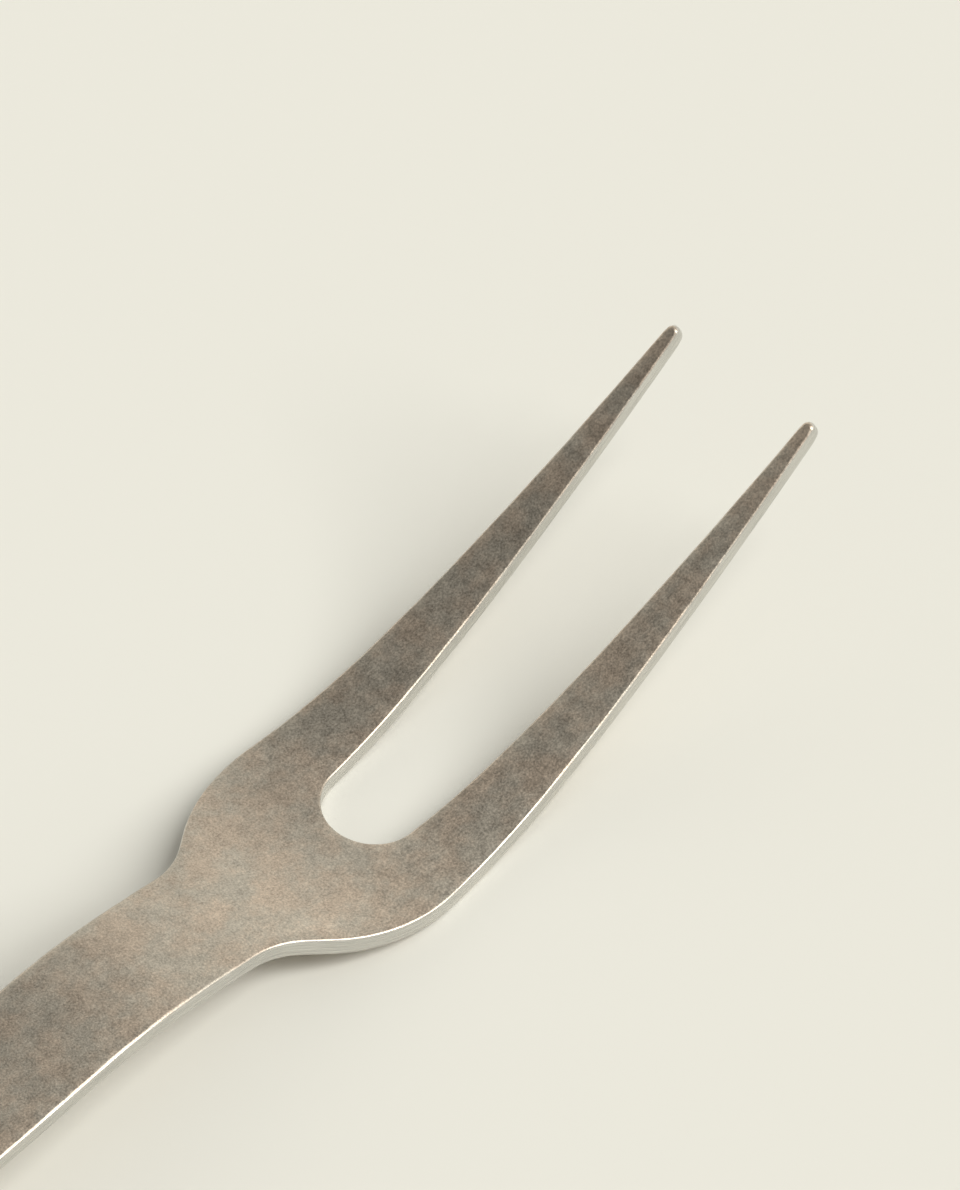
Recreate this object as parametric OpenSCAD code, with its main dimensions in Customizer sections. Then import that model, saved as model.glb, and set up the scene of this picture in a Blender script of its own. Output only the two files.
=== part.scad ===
// Two-tined table fork, cut in one piece from flat steel plate and bent in side view.
// Lengths are in millimetres and angles in degrees.
// X runs from the handle end to the tine tips, Y across, Z up; the fork is symmetric about Y = 0.
// The origin is the middle of the bounding box in X and Y, on the surface the fork rests on.
// Plan sizes below are measured in X from the bottom of the slot, side sizes on the top face.

/* [Plate] */
// thickness of the steel plate
plate_t = 2; // [1.6:0.1:2.6]

/* [Head] */
// width across the rounded shoulders, the widest place of the fork
head_w = 25.5; // [24.6:0.1:28]
// widest place of the shoulders, in front of the slot bottom
shoulder_x = 0.56; // [0:0.02:2]
// radius of each rounded shoulder in plan
shoulder_r = 20.1; // [17:0.1:22]
// angle at which the neck flares out to the shoulders
flare_angle = 33.5; // [28:0.5:38]
// radius of the hollow curve between handle and flare
neck_r = 9; // [6:0.1:12]

/* [Tines] */
// length of the tines from the slot bottom to the tips
tine_l = 55.6; // [46:0.1:58]
// width of the slot at its rounded bottom
slot_w = 9.76; // [8.6:0.02:10.4]
// angle of each slot side to the middle plane
slot_angle = 3.38; // [2.6:0.02:3.8]
// angle of each outer tine side to the middle plane
tine_angle = 3.9; // [3.2:0.02:4.3]

/* [Handle] */
// length of the handle from the slot bottom to the handle end
handle_l = 154.4; // [140:0.2:170]
// width of the handle at the neck
neck_w = 12.88; // [11:0.02:15]
// where the neck width is measured, behind the slot bottom
neck_x = 17.8; // [17:0.1:20]
// angle of each handle side to the middle plane, wider towards the end
handle_angle = 0.41; // [0:0.01:0.8]
// length of the flat stretch that rests on the table at the handle end
foot_l = 16; // [10:0.5:30]
// length of the straight level stretch of the raised grip
grip_l = 20; // [14:0.5:30]

/* [Side bends] */
// lowest point of the heel, in front of the slot bottom
heel_x = 4.37; // [3:0.01:6]
// bend radius of the heel
heel_r = 48.3; // [44:0.1:54]
// angle that the heel bend turns towards the tines
heel_front_angle = 14; // [13:0.1:16]
// angle that the heel bend turns towards the handle
heel_back_angle = 17.7; // [16:0.1:19]
// bend radius of the tine roots
root_r = 129; // [110:1:150]
// angle that the tine roots turn
root_angle = 6.8; // [5:0.1:9]
// bend radius along the rest of the tines
tine_r = 278; // [240:1:320]
// bend radius of the sloping neck
slope_r = 137; // [110:1:170]
// angle that the sloping neck turns
slope_angle = 7.1; // [5:0.1:9]
// bend radius between sloping neck and grip
brow_r = 53.2; // [44:0.1:64]

/* [Hidden] */
steel = [0.56, 0.52, 0.46];
clear = 3;

// Plan view. A side line of the handle, the flare and the tine each have an outward normal.
flare_n = [-sin(flare_angle), cos(flare_angle)];
handle_n = [sin(handle_angle), cos(handle_angle)];
tine_n = [sin(tine_angle), cos(tine_angle)];
shoulder_c = [shoulder_x, head_w / 2 - shoulder_r];
flare_p = shoulder_c + shoulder_r * flare_n;
tine_p = shoulder_c + shoulder_r * tine_n;
handle_p = [-neck_x, neck_w / 2];

// Point that lies a distance e outside two lines, each given by a point and its normal.
function meet(p, n, q, m, e) =
    let (a = p * n + e, b = q * m + e, d = n[0] * m[1] - n[1] * m[0])
    [(a * m[1] - b * n[1]) / d, (n[0] * b - m[0] * a) / d];

neck_c = meet(flare_p, flare_n, handle_p, handle_n, neck_r);

// Slot: a round bottom and two straight sides tangent to it.
slot_r = slot_w / 2;
slot_n = [sin(slot_angle), -cos(slot_angle)];
slot_p = [slot_r, 0] - slot_r * slot_n;

// Rounded tip, tangent to both sides of a tine.
outer_0 = tine_p[1] + tine_p[0] * tan(tine_angle);
inner_0 = slot_p[1] - slot_p[0] * tan(slot_angle);
closing = tan(tine_angle) + tan(slot_angle);
half_cos = cos((tine_angle + slot_angle) / 2) / 2;
tip_r = (outer_0 - inner_0 - closing * tine_l) * half_cos / (1 - closing * half_cos);
tip_x = tine_l - tip_r;
tip_c = [tip_x, (outer_0 - tip_x * tan(tine_angle) + inner_0 + tip_x * tan(slot_angle)) / 2];

// Rounded handle end, tangent to both sides of the handle.
end_r = (handle_p[1] + (handle_l - neck_x) * tan(handle_angle)) * cos(handle_angle) / (1 + sin(handle_angle));
end_c = [end_r - handle_l, 0];

// Side view. Each bend starts where the one before it ends, with the same slope.
function rise(a) = [sin(a), -cos(a)];
heel_c = [heel_x, plate_t + heel_r];
root_c = heel_c + (heel_r - root_r) * rise(heel_front_angle);
front_angle = heel_front_angle + root_angle;
tine_c = root_c + (root_r - tine_r) * rise(front_angle);
tine_end_angle = asin((tine_l + clear - tine_c[0]) / tine_r);
slope_c = heel_c + (heel_r + slope_r) * rise(-heel_back_angle);
brow_angle = slope_angle - heel_back_angle;
brow_c = slope_c + (brow_r - slope_r) * rise(brow_angle);
grip_z = brow_c[1] + brow_r;
grip_x = brow_c[0] - grip_l;
foot_x = foot_l - handle_l;
drop_angle = 2 * atan((grip_z - plate_t) / (grip_x - foot_x));
drop_r = (grip_x - foot_x) / (2 * sin(drop_angle));

// Points along a bend, its first point left out. Cup has its centre above the plate, cap below.
function cup(c, r, a, b, n) = [for (i = [1:n]) c + r * rise(a + (b - a) * i / n)];
function cap(c, r, a, b, n) = [for (i = [1:n]) c - r * rise(a + (b - a) * i / n)];

// One face of the bent plate from handle end to tine tips; e is 0 for the top, plate_t for the bottom.
function face(e) = concat(
    [[-handle_l - clear, plate_t - e], [foot_x, plate_t - e]],
    cup([foot_x, plate_t + drop_r], drop_r + e, 0, drop_angle, 14),
    cap([grip_x, grip_z - drop_r], drop_r - e, drop_angle, 0, 14),
    [[grip_x + grip_l, grip_z - e]],
    cap(brow_c, brow_r - e, 0, brow_angle, 8),
    cap(slope_c, slope_r - e, brow_angle, -heel_back_angle, 8),
    cup(heel_c, heel_r + e, -heel_back_angle, heel_front_angle, 24),
    cup(root_c, root_r + e, heel_front_angle, front_angle, 8),
    cup(tine_c, tine_r + e, front_angle, tine_end_angle, 12)
);

// Bent plate seen from the side, longer than the outline at both ends.
module profile() {
    top = face(0);
    bottom = face(plate_t);
    polygon(concat(top, [for (i = [len(bottom) - 1:-1:0]) bottom[i]]));
}

// Points along a round stretch of the outline, both ends included.
function turn(c, r, a, b, n) = [for (i = [0:n]) c + r * [cos(a + (b - a) * i / n), sin(a + (b - a) * i / n)]];

// Outline of the fork seen from above: one side, then its mirror image.
module plan() {
    side = concat(
        turn(end_c, end_r, 180, 90 - handle_angle, 20),
        turn(neck_c, neck_r, 270 - handle_angle, 270 + flare_angle, 10),
        turn(shoulder_c, shoulder_r, 90 + flare_angle, 90 - tine_angle, 16),
        turn(tip_c, tip_r, 90 - tine_angle, slot_angle - 90, 14),
        turn([slot_r, 0], slot_r, 90 + slot_angle, 180, 16)
    );
    polygon(concat(side, [for (i = [len(side) - 2:-1:1]) [side[i][0], -side[i][1]]]));
}

module fork() {
    color(steel)
    translate([(handle_l - tine_l) / 2, 0, 0])
    intersection() {
        rotate([90, 0, 0]) linear_extrude(height = head_w + 2 * clear, center = true) profile();
        translate([0, 0, -clear]) linear_extrude(height = 40) plan();
    }
}

fork();
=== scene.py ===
from math import asin, atan, cos, degrees, hypot, pi, radians, sin, tan

import bpy
import numpy as np
from mathutils import Matrix, Vector, noise
from mathutils.geometry import delaunay_2d_cdt


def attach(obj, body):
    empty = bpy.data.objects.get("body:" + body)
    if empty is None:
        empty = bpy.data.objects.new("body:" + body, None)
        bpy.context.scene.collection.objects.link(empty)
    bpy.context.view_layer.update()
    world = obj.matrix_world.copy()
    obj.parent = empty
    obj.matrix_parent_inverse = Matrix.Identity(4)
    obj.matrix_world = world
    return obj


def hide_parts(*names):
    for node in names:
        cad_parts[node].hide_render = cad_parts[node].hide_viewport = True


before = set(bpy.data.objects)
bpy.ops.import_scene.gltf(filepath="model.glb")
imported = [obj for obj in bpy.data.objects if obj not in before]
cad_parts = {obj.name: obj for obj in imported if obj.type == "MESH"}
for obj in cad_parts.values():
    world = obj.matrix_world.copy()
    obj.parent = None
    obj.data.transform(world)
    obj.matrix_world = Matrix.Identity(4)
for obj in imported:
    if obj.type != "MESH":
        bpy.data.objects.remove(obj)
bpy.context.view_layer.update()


MM = 0.001

# ---------------------------------------------------------------- sizes, as in part.scad (mm, degrees)
PLATE_T = 2.0
HEAD_W, SHOULDER_X, SHOULDER_R, FLARE_A, NECK_R = 25.5, 0.56, 20.1, 33.5, 9.0
TINE_L, SLOT_W, SLOT_A, TINE_A = 55.6, 9.76, 3.38, 3.9
HANDLE_L, NECK_W, NECK_X, HANDLE_A, FOOT_L, GRIP_L = 154.4, 12.88, 17.8, 0.41, 16.0, 20.0
HEEL_X, HEEL_R, HEEL_FRONT, HEEL_BACK = 4.37, 48.3, 14.0, 17.7
ROOT_R, ROOT_A, TINE_R = 129.0, 6.8, 278.0
SLOPE_R, SLOPE_A, BROW_R = 137.0, 7.1, 53.2
SHIFT = (HANDLE_L - TINE_L) / 2  # plan x to row x

# the real edges are tumbled round; the solid has them sharp
EASE = 0.22  # radius of the eased edge
NOSE = 1.3  # length over which a tine tip is rounded like a bullet
TIP_BACK = 0.30  # the rounded tips end this much inside the sharp outline
ROLL, ROLL_DROP = 1.5, 0.085  # width and depth of the gentle roll-off next to an edge


def sn(a):
    return sin(radians(a))


def cs(a):
    return cos(radians(a))


# ---------------------------------------------------------------- side view: height and slope of the top face
def rise(a):
    return np.array([sn(a), -cs(a)])


heel_c = np.array([HEEL_X, PLATE_T + HEEL_R])
root_c = heel_c + (HEEL_R - ROOT_R) * rise(HEEL_FRONT)
front_a = HEEL_FRONT + ROOT_A
tine_c = root_c + (ROOT_R - TINE_R) * rise(front_a)
slope_c = heel_c + (HEEL_R + SLOPE_R) * rise(-HEEL_BACK)
brow_a = SLOPE_A - HEEL_BACK
brow_c = slope_c + (BROW_R - SLOPE_R) * rise(brow_a)
grip_z, grip_x = brow_c[1] + BROW_R, brow_c[0] - GRIP_L
foot_x = FOOT_L - HANDLE_L
drop_a = 2 * degrees(atan((grip_z - PLATE_T) / (grip_x - foot_x)))
drop_r = (grip_x - foot_x) / (2 * sn(drop_a))
# (end x, kind, centre, radius): cup has its centre above the plate, cap below
SIDE = [
    (foot_x, "flat", PLATE_T, 0),
    (foot_x + drop_r * sn(drop_a), "cup", (foot_x, PLATE_T + drop_r), drop_r),
    (grip_x, "cap", (grip_x, grip_z - drop_r), drop_r),
    (grip_x + GRIP_L, "flat", grip_z, 0),
    (brow_c[0] - BROW_R * sn(brow_a), "cap", brow_c, BROW_R),
    (slope_c[0] + SLOPE_R * sn(HEEL_BACK), "cap", slope_c, SLOPE_R),
    (heel_c[0] + HEEL_R * sn(HEEL_FRONT), "cup", heel_c, HEEL_R),
    (root_c[0] + ROOT_R * sn(front_a), "cup", root_c, ROOT_R),
    (1e9, "cup", tine_c, TINE_R),
]


def side(x):
    """(height, slope in radians) of the plate's top face at plan x."""
    for end, kind, c, r in SIDE:
        if x <= end:
            if kind == "flat":
                return c, 0.0
            if kind == "cup":
                a = asin((x - c[0]) / r)
                return c[1] - r * cos(a), a
            a = -asin((x - c[0]) / r)
            return c[1] + r * cos(a), a


def bent(x, y, d):
    """A point of the flat plate, d below its top face, where the bent plate has it (row frame, metres)."""
    z, a = side(x)
    return (x + d * sin(a) + SHIFT) * MM, y * MM, (z - d * cos(a)) * MM


def bent_normal(x, n):
    """A direction of the flat plate (along, across, up) where the bent plate has it."""
    a = side(x)[1]
    return n[0] * cos(a) - n[2] * sin(a), n[1], n[0] * sin(a) + n[2] * cos(a)


# ---------------------------------------------------------------- outline in plan, one closed loop
def unit(a):
    return np.array([cs(a), sn(a)])


shoulder_c = np.array([SHOULDER_X, HEAD_W / 2 - SHOULDER_R])
flare_n, handle_n, tine_n = unit(90 + FLARE_A), unit(90 - HANDLE_A), unit(90 - TINE_A)
flare_p, tine_p = shoulder_c + SHOULDER_R * flare_n, shoulder_c + SHOULDER_R * tine_n
handle_p = np.array([-NECK_X, NECK_W / 2])
neck_c = np.linalg.solve(
    np.array([flare_n, handle_n]), [flare_p @ flare_n + NECK_R, handle_p @ handle_n + NECK_R]
)
slot_r = SLOT_W / 2
slot_n = unit(SLOT_A - 90)
slot_p = np.array([slot_r, 0]) - slot_r * slot_n
outer_0 = tine_p[1] + tine_p[0] * tan(radians(TINE_A))
inner_0 = slot_p[1] - slot_p[0] * tan(radians(SLOT_A))
closing = tan(radians(TINE_A)) + tan(radians(SLOT_A))
half_cos = cs((TINE_A + SLOT_A) / 2) / 2
tip_l = TINE_L - TIP_BACK
tip_r = (outer_0 - inner_0 - closing * tip_l) * half_cos / (1 - closing * half_cos)
tip_x = tip_l - tip_r
tip_c = np.array(
    [tip_x, (outer_0 - tip_x * tan(radians(TINE_A)) + inner_0 + tip_x * tan(radians(SLOT_A))) / 2]
)
end_r = (handle_p[1] + (HANDLE_L - NECK_X) * tan(radians(HANDLE_A))) * cs(HANDLE_A) / (1 + sn(HANDLE_A))
end_c = np.array([end_r - HANDLE_L, 0.0])


def arc(c, r, a, b, sign, step):
    n = max(4, round(abs(radians(b - a)) * r / step))
    return [(c + r * unit(a + (b - a) * i / n), sign * unit(a + (b - a) * i / n)) for i in range(n + 1)]


def straight(p, q, step):
    n = max(1, round(hypot(*(q[0] - p[0])) / step))
    return [(p[0] + (q[0] - p[0]) * i / n, p[1]) for i in range(1, n)]


arcs = [
    arc(end_c, end_r, 180, 90 - HANDLE_A, 1, 0.5),
    arc(neck_c, NECK_R, 270 - HANDLE_A, 270 + FLARE_A, -1, 0.3),
    arc(shoulder_c, SHOULDER_R, 90 + FLARE_A, 90 - TINE_A, 1, 0.35),
    arc(tip_c, tip_r, 90 - TINE_A, SLOT_A - 90, 1, 0.08),
    arc(np.array([slot_r, 0.0]), slot_r, 90 + SLOT_A, 180, -1, 0.25),
]
half = list(arcs[0])
for nxt in arcs[1:]:
    half += straight(half[-1], nxt[0], 0.55) + nxt
# the neck arc ends and the shoulder arc starts on the same straight flare, so no point is met twice
loop = half + [(p * (1, -1), n * (1, -1)) for p, n in half[-2:0:-1]]
P = np.array([p for p, n in loop])
N = np.array([n for p, n in loop])
COUNT = len(P)
along = np.r_[0, np.cumsum(np.hypot(*np.diff(P, axis=0).T))]


def smooth(t):
    t = min(1.0, max(0.0, t))
    return t * t * (3 - 2 * t)


def fbm(x, y, z, octaves=3):
    v, amp, tot = 0.0, 1.0, 0.0
    for _ in range(octaves):
        v += amp * noise.noise(Vector((x, y, z)))
        tot += amp
        x, y, z, amp = x * 2.03, y * 2.03, z * 2.03, amp * 0.55
    return v / tot


# Room for the roll-off: half the width of the tine, less near its tip.
def room(p):
    if p[0] < 12:
        return ROLL
    w = (outer_0 - inner_0 - closing * p[0]) / 2
    return max(0.50, min(ROLL, 0.85 * w))


def uneven(s):
    """The eased radius at a distance s along the outline, wavering slowly and finely."""
    return EASE * (1 + 0.30 * fbm(s * 0.35, 1.7, 0.3) + 0.16 * fbm(s * 1.6, 5.1, 2.2))


ease = np.array([uneven(s) for s in along])
ease *= np.array([1 + 0.55 * 1.3 * smooth((-p[0] - 8) / 22) for p in P])  # the handle's edges are rounder
nose = np.array([smooth(1 - (tip_l - p[0]) / NOSE) if p[0] > 30 else 0.0 for p in P])
rooms = np.array([room(p) for p in P])

# ---------------------------------------------------------------- rings, from the top face round to the bottom
ROLLS = [1.0, 0.82, 0.64, 0.46, 0.30, 0.15]
TURN = 6
WALL = [0.25, 0.5, 0.75]
NET = 1.1  # spacing of the points that fill the broad faces


def roll(e, r0, wide):
    """(drop, slope) of the gentle roll-off at inset e, between the eased edge at r0 and the flat at wide."""
    t = max(0.0, (wide - e) / max(1e-6, wide - r0))
    scale = (wide - r0) / (ROLL - EASE)
    return ROLL_DROP * scale * t * t, 2 * ROLL_DROP * scale * t / max(1e-6, wide - r0)


def ring(top, kind, k):
    """One ring of points, its normals, depth below the top face and how much it belongs to the wall."""
    pos, nor, dep, wall = [], [], [], []
    for i in range(COUNT):
        p, m = P[i], N[i]
        ri = min(0.50, ease[i] * (1 + 0.9 * nose[i]))
        rd = ease[i] * (1 + (1.2 if top else 2.6) * nose[i])
        wide = max(ri + 0.06, rooms[i] - 0.02)
        drop0, slope0 = roll(ri, ri, wide)
        if kind == "roll":
            e = ri + (wide - ri) * k
            drop, slope = roll(e, ri, wide)
            n = np.array([m[0] * sin(atan(slope)), m[1] * sin(atan(slope)), cos(atan(slope))])
            d, w = drop, 0.16 * smooth(1 - k / 0.35)
        else:  # the eased edge starts with the roll-off's slope and turns to the wall
            a0 = atan(slope0)
            a = a0 + (pi / 2 - a0) * k
            e = ri * (1 - (sin(a) - sin(a0)) / (1 - sin(a0)))
            d = drop0 + rd * (cos(a0) - cos(a)) / cos(a0)
            nn = np.array([sin(a) / ri, cos(a) / rd])
            nn /= np.hypot(*nn)
            n = np.array([m[0] * nn[0], m[1] * nn[0], nn[1]])
            w = 0.16 + 0.84 * smooth(k)
        if not top:
            d, n = PLATE_T - d, n * (1, 1, -1)
        pos.append((p[0] - m[0] * e, p[1] - m[1] * e))
        nor.append(n)
        dep.append(d)
        wall.append(w)
    return np.array(pos), np.array(nor), np.array(dep), np.array(wall)


table = [ring(True, "roll", k) for k in ROLLS]
table += [ring(True, "turn", i / TURN) for i in range(TURN + 1)]
upper, lower = table[-1], ring(False, "turn", 1.0)
for k in WALL:
    table.append((P, upper[1], upper[2] + (lower[2] - upper[2]) * k, np.ones(COUNT)))
table += [ring(False, "turn", 1 - i / TURN) for i in range(TURN + 1)]
table += [ring(False, "roll", k) for k in reversed(ROLLS)]
R = len(table)

verts, normals, strips, walls = [], [], [], []
for pos, nor, dep, wall in table:
    for i in range(COUNT):
        verts.append(bent(pos[i][0], pos[i][1], dep[i]))
        normals.append(bent_normal(pos[i][0], nor[i]))
        strips.append((along[i], dep[i], 0.0))
        walls.append(wall[i])
faces = []
for r in range(R - 1):
    a, b = r * COUNT, (r + 1) * COUNT
    for i in range(COUNT):
        j = (i + 1) % COUNT
        faces.append((a + i, a + j, b + j, b + i))


# ---------------------------------------------------------------- the two broad faces
def fill(edge, depth, up):
    """Covers the inside of a ring with a fine net, so that it follows the bends."""
    loop2 = [Vector((float(x), float(y))) for x, y in edge]
    inner = []
    n = len(edge)
    ex, ey = edge[:, 0], edge[:, 1]
    nx, ny = np.roll(ex, -1), np.roll(ey, -1)
    x = -HANDLE_L + 0.4
    row = 0
    while x < TINE_L:
        y = -HEAD_W / 2 + (0.5 * NET if row % 2 else 0)
        while y < HEAD_W / 2:
            high = np.where(ny == ey, 1e-9, ny - ey)
            cross = ((ey > y) != (ny > y)) & (x < (nx - ex) * (y - ey) / high + ex)
            if cross.sum() % 2 and np.hypot(ex - x, ey - y).min() > 0.45 * NET:
                inner.append(Vector((x, y)))
            y += NET
        x += NET * 0.87
        row += 1
    pts = loop2 + inner
    cons = [(i, (i + 1) % n) for i in range(n)]
    out, _, tris, orig, _, _ = delaunay_2d_cdt(pts, cons, [], 1, 1e-7)
    index = []
    base = 0 if up else (R - 1) * COUNT
    for q, o in zip(out, orig):
        own = [k for k in o if k < n]
        if own:
            index.append(base + own[0])
        else:
            index.append(len(verts))
            verts.append(bent(q.x, q.y, depth))
            normals.append(bent_normal(q.x, (0, 0, 1 if up else -1)))
            strips.append((0.0, depth, 0.0))
            walls.append(0.0)
    for t in tris:
        f = [index[k] for k in t]
        a, b, c = (out[k] for k in t)
        turn_left = (b.x - a.x) * (c.y - a.y) - (b.y - a.y) * (c.x - a.x) > 0
        faces.append(tuple(f if turn_left == up else f[::-1]))


fill(table[0][0], 0.0, True)
fill(table[-1][0], PLATE_T, False)

me = bpy.data.meshes.new("fork_body")
me.from_pydata([tuple(map(float, v)) for v in verts], [], faces)
me.update()
for name, kind, data in (("strip", "FLOAT_VECTOR", strips), ("wall", "FLOAT", walls)):
    at = me.attributes.new(name, kind, "POINT")
    at.data.foreach_set("vector" if kind == "FLOAT_VECTOR" else "value", np.array(data, np.float32).ravel())
me.polygons.foreach_set("use_smooth", [True] * len(me.polygons))
me.normals_split_custom_set_from_vertices([Vector(n).normalized() for n in normals])
fork = bpy.data.objects.new("fork_body", me)
bpy.context.scene.collection.objects.link(fork)


# ---------------------------------------------------------------- materials
class Nodes:
    """Short hand for building a node tree."""

    def __init__(self, tree):
        self.t = tree
        tree.nodes.clear()

    def add(self, kind, links=(), **values):
        n = self.t.nodes.new(kind)
        for k, v in values.items():
            setattr(n, k, v)
        for k, v in dict(links).items():
            s = n.inputs[k]
            if isinstance(v, bpy.types.NodeSocket):
                self.t.links.new(v, s)
            else:
                s.default_value = v
        return n

    def noise(self, vec, scale, detail=3.0, rough=0.55):
        n = self.add("ShaderNodeTexNoise", {"Vector": vec, "Scale": scale, "Detail": detail, "Roughness": rough})
        return n.outputs["Fac"]

    def math(self, op, a, b=0.0, c=0.0, clamp=False):
        n = self.add("ShaderNodeMath", {0: a, 1: b, 2: c}, operation=op, use_clamp=clamp)
        return n.outputs[0]

    def span(self, v, lo, hi, to_lo=0.0, to_hi=1.0, kind="SMOOTHSTEP"):
        n = self.add(
            "ShaderNodeMapRange",
            {"Value": v, "From Min": lo, "From Max": hi, "To Min": to_lo, "To Max": to_hi},
            interpolation_type=kind,
        )
        return n.outputs["Result"]

    def mix(self, f, a, b, blend="MIX"):
        n = self.t.nodes.new("ShaderNodeMix")
        n.data_type, n.blend_type = "RGBA", blend
        for s, v in ((n.inputs[0], f), (n.inputs[6], a), (n.inputs[7], b)):
            if isinstance(v, bpy.types.NodeSocket):
                self.t.links.new(v, s)
            else:
                s.default_value = v
        return n.outputs[2]

    def scaled(self, vec, s):
        n = self.add("ShaderNodeMapping", {"Vector": vec, "Scale": s})
        return n.outputs[0]


def rgb(r, g, b):
    return (r, g, b, 1.0)


def steel():
    mat = bpy.data.materials.new("worn_steel")
    mat.use_nodes = True
    N_ = Nodes(mat.node_tree)
    pos = N_.add("ShaderNodeTexCoord").outputs["Object"]
    mm = N_.scaled(pos, (1000, 1000, 1000))
    strip = N_.add("ShaderNodeAttribute", attribute_name="strip", attribute_type="GEOMETRY").outputs["Vector"]
    wall = N_.add("ShaderNodeAttribute", attribute_name="wall", attribute_type="GEOMETRY").outputs["Fac"]

    # stonewashed face: warm and cool clouds, a finer mottle, and a salt-and-pepper grain; over these, painted light
    # across the width, lighter on the edge toward the key light and darker on the far edge
    cloud = N_.noise(mm, 0.13, 5, 0.6)
    tint = N_.noise(N_.scaled(pos, (1000, 1150, 1000)), 0.21, 4, 0.62)
    mottle = N_.noise(mm, 0.7, 4, 0.7)
    grain = N_.noise(mm, 4.6, 2, 0.7)
    warm, cool = rgb(0.540, 0.452, 0.362), rgb(0.495, 0.452, 0.380)
    col = N_.mix(N_.span(tint, 0.36, 0.64), cool, warm)
    tone = N_.math("ADD", N_.span(cloud, 0.3, 0.7, 0.90, 1.08, "LINEAR"), N_.span(mottle, 0.25, 0.75, -0.17, 0.17, "LINEAR"))
    tone = N_.math("ADD", tone, N_.span(grain, 0.25, 0.75, -0.34, 0.34, "LINEAR"))
    axes = N_.add("ShaderNodeSeparateXYZ", {0: mm})
    # painted light: the face's colour is made lighter on the side toward the key light and darker on the far side
    tone = N_.math("MULTIPLY", tone, N_.span(axes.outputs["Y"], -9.0, 9.0, 1.10, 0.93))
    face = N_.add("ShaderNodeVectorMath", {0: col, 1: tone}, operation="MULTIPLY").outputs[0]

    # ground walls: streaks along the edge, slightly slanting, over a cleaner and paler metal
    lean = N_.add("ShaderNodeMapping", {"Vector": strip, "Scale": (0.16, 7.0, 1.0), "Rotation": (0, 0, 0.012)}).outputs[0]
    streak = N_.noise(lean, 1.0, 4, 0.6)
    fine = N_.noise(N_.scaled(strip, (0.5, 16.0, 1.0)), 1.0, 2, 0.6)
    side_tone = N_.math("ADD", N_.span(streak, 0.3, 0.7, 0.78, 1.14, "LINEAR"), N_.span(fine, 0.3, 0.7, -0.12, 0.12, "LINEAR"))
    side_col = N_.add("ShaderNodeVectorMath", {0: (0.66, 0.65, 0.615), 1: side_tone}, operation="MULTIPLY").outputs[0]

    edge = N_.math("ADD", wall, N_.math("MULTIPLY", N_.math("SUBTRACT", mottle, 0.5), 0.25))
    bare = N_.span(edge, 0.35, 0.95)
    base = N_.mix(bare, face, side_col)
    rough_face = N_.math("ADD", N_.span(mottle, 0.25, 0.75, 0.36, 0.46, "LINEAR"), N_.span(grain, 0.3, 0.7, -0.04, 0.04, "LINEAR"))
    rough_wall = N_.span(streak, 0.3, 0.7, 0.30, 0.22, "LINEAR")
    rough = N_.math("ADD", N_.math("MULTIPLY", rough_face, N_.math("SUBTRACT", 1.0, bare)), N_.math("MULTIPLY", rough_wall, bare))

    pits = N_.noise(mm, 3.2, 3, 0.7)
    h_face = N_.math("MULTIPLY", pits, N_.math("SUBTRACT", 1.0, bare))
    h_wall = N_.math("MULTIPLY", N_.math("ADD", streak, N_.math("MULTIPLY", fine, 0.5)), bare)
    height = N_.math("ADD", h_face, h_wall)
    bump = N_.add("ShaderNodeBump", {"Height": height, "Distance": 0.00003, "Strength": 0.55}).outputs[0]
    bsdf = N_.add(
        "ShaderNodeBsdfPrincipled", {"Base Color": base, "Metallic": 1.0, "Roughness": rough, "Normal": bump}
    )
    N_.add("ShaderNodeOutputMaterial", {"Surface": bsdf.outputs[0]})
    return mat


fork.data.materials.append(steel())
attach(fork, "root")
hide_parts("fork")

# ---------------------------------------------------------------- floor
fm = bpy.data.materials.new("pale_paper")
fm.use_nodes = True
F_ = Nodes(fm.node_tree)
paper = F_.add("ShaderNodeBsdfPrincipled", {"Base Color": rgb(0.785, 0.779, 0.718), "Roughness": 0.9, "Specular IOR Level": 0.1})
F_.add("ShaderNodeOutputMaterial", {"Surface": paper.outputs[0]})
bpy.ops.mesh.primitive_plane_add(size=12)
floor = bpy.context.object
floor.name = "floor"
floor.data.materials.append(fm)

# ---------------------------------------------------------------- camera: looks down at 52 degrees, the fork runs to the upper right
TURN_A, ELEV = 47.336, 52.0
ASIDE, RAISED, DISTANCE = 13.089, 21.821, 1840  # mm, from the slot's bottom at heel height
right = Vector((cs(TURN_A), -sn(TURN_A), 0))
away = Vector((sn(TURN_A), cs(TURN_A), 0))
look = away * cs(ELEV) - Vector((0, 0, sn(ELEV)))
up = away * sn(ELEV) + Vector((0, 0, cs(ELEV)))
place = right * ASIDE + up * RAISED - look * DISTANCE + Vector((SHIFT, 0, PLATE_T))
cam = bpy.data.objects.new("camera", bpy.data.cameras.new("camera"))
bpy.context.scene.collection.objects.link(cam)
cam.data.sensor_fit = "HORIZONTAL"
cam.data.sensor_width = 36
cam.data.lens = 750
cam.data.clip_start, cam.data.clip_end = 0.05, 60
turn_m = Matrix((right, up, -look)).transposed().to_4x4()
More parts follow.
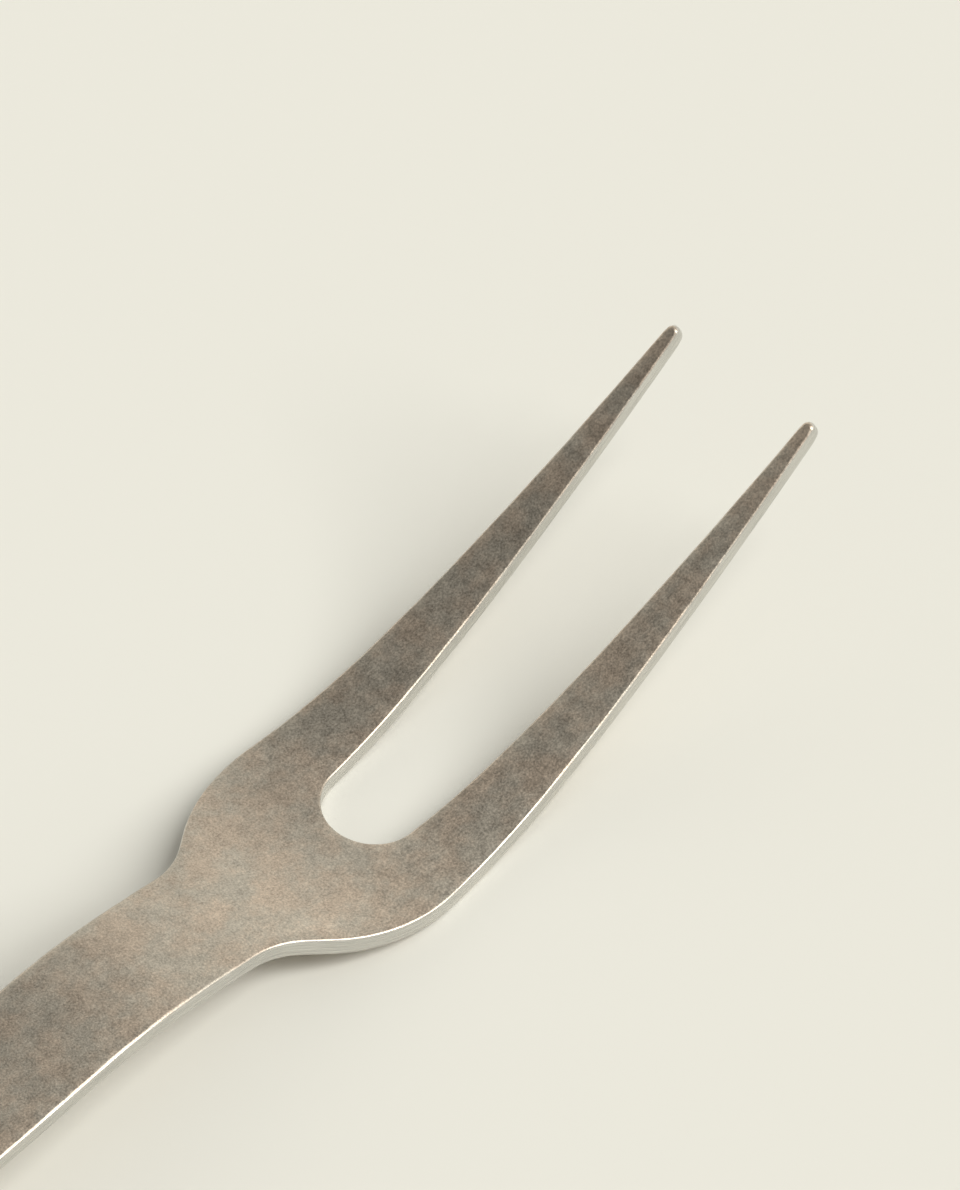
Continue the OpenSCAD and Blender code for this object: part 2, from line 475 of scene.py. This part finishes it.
cam.matrix_world = Matrix.Translation(place * MM) @ turn_m
bpy.context.scene.camera = cam


# ---------------------------------------------------------------- light
def toward(az, el):
    """Direction to a light: az from the picture's right, turning away from the camera."""
    return right * cs(az) * cs(el) + away * sn(az) * cs(el) + Vector((0, 0, sn(el)))


def sun(name, az, el, size, power, tint=(1, 0.985, 0.955)):
    s = bpy.data.lights.new(name, "SUN")
    s.angle, s.energy, s.color = radians(size), power, tint
    o = bpy.data.objects.new(name, s)
    o.rotation_mode = "QUATERNION"
    o.rotation_quaternion = toward(az, el).to_track_quat("Z", "Y")
    bpy.context.scene.collection.objects.link(o)


# a tall soft box at the right, towards the camera
KEY_AZ, KEY_ELS, KEY_SIZE, KEY_POWER = -14, (33, 50, 67), 20, 0.85
for i, el in enumerate(KEY_ELS):
    sun("key_%d" % i, KEY_AZ, el, KEY_SIZE, KEY_POWER)

world = bpy.data.worlds.new("studio")
bpy.context.scene.world = world
world.use_nodes = True
W_ = Nodes(world.node_tree)
d = W_.add("ShaderNodeTexCoord").outputs["Generated"]
level = W_.add("ShaderNodeVectorMath", {0: d, 1: (0, 0, 1)}, operation="DOT_PRODUCT").outputs["Value"]
far = W_.add("ShaderNodeVectorMath", {0: d, 1: tuple(away)}, operation="DOT_PRODUCT").outputs["Value"]
high = W_.span(level, 0.36, 0.86, 0.92, 0.22)
lit = W_.math("MULTIPLY", high, W_.span(far, -0.4, 0.9, 0.75, 1.25))
seen = W_.add("ShaderNodeLightPath").outputs["Is Camera Ray"]
room_bg = W_.add("ShaderNodeBackground", {"Color": rgb(1, 0.98, 0.92), "Strength": lit})
plain_bg = W_.add("ShaderNodeBackground", {"Color": rgb(0.783, 0.768, 0.680), "Strength": 1.0})
both = W_.add("ShaderNodeMixShader", {0: seen, 1: room_bg.outputs[0], 2: plain_bg.outputs[0]})
W_.add("ShaderNodeOutputWorld", {"Surface": both.outputs[0]})

view = bpy.context.scene.view_settings
view.view_transform, view.look, view.exposure, view.gamma = "Standard", "None", 0.0, 1.0
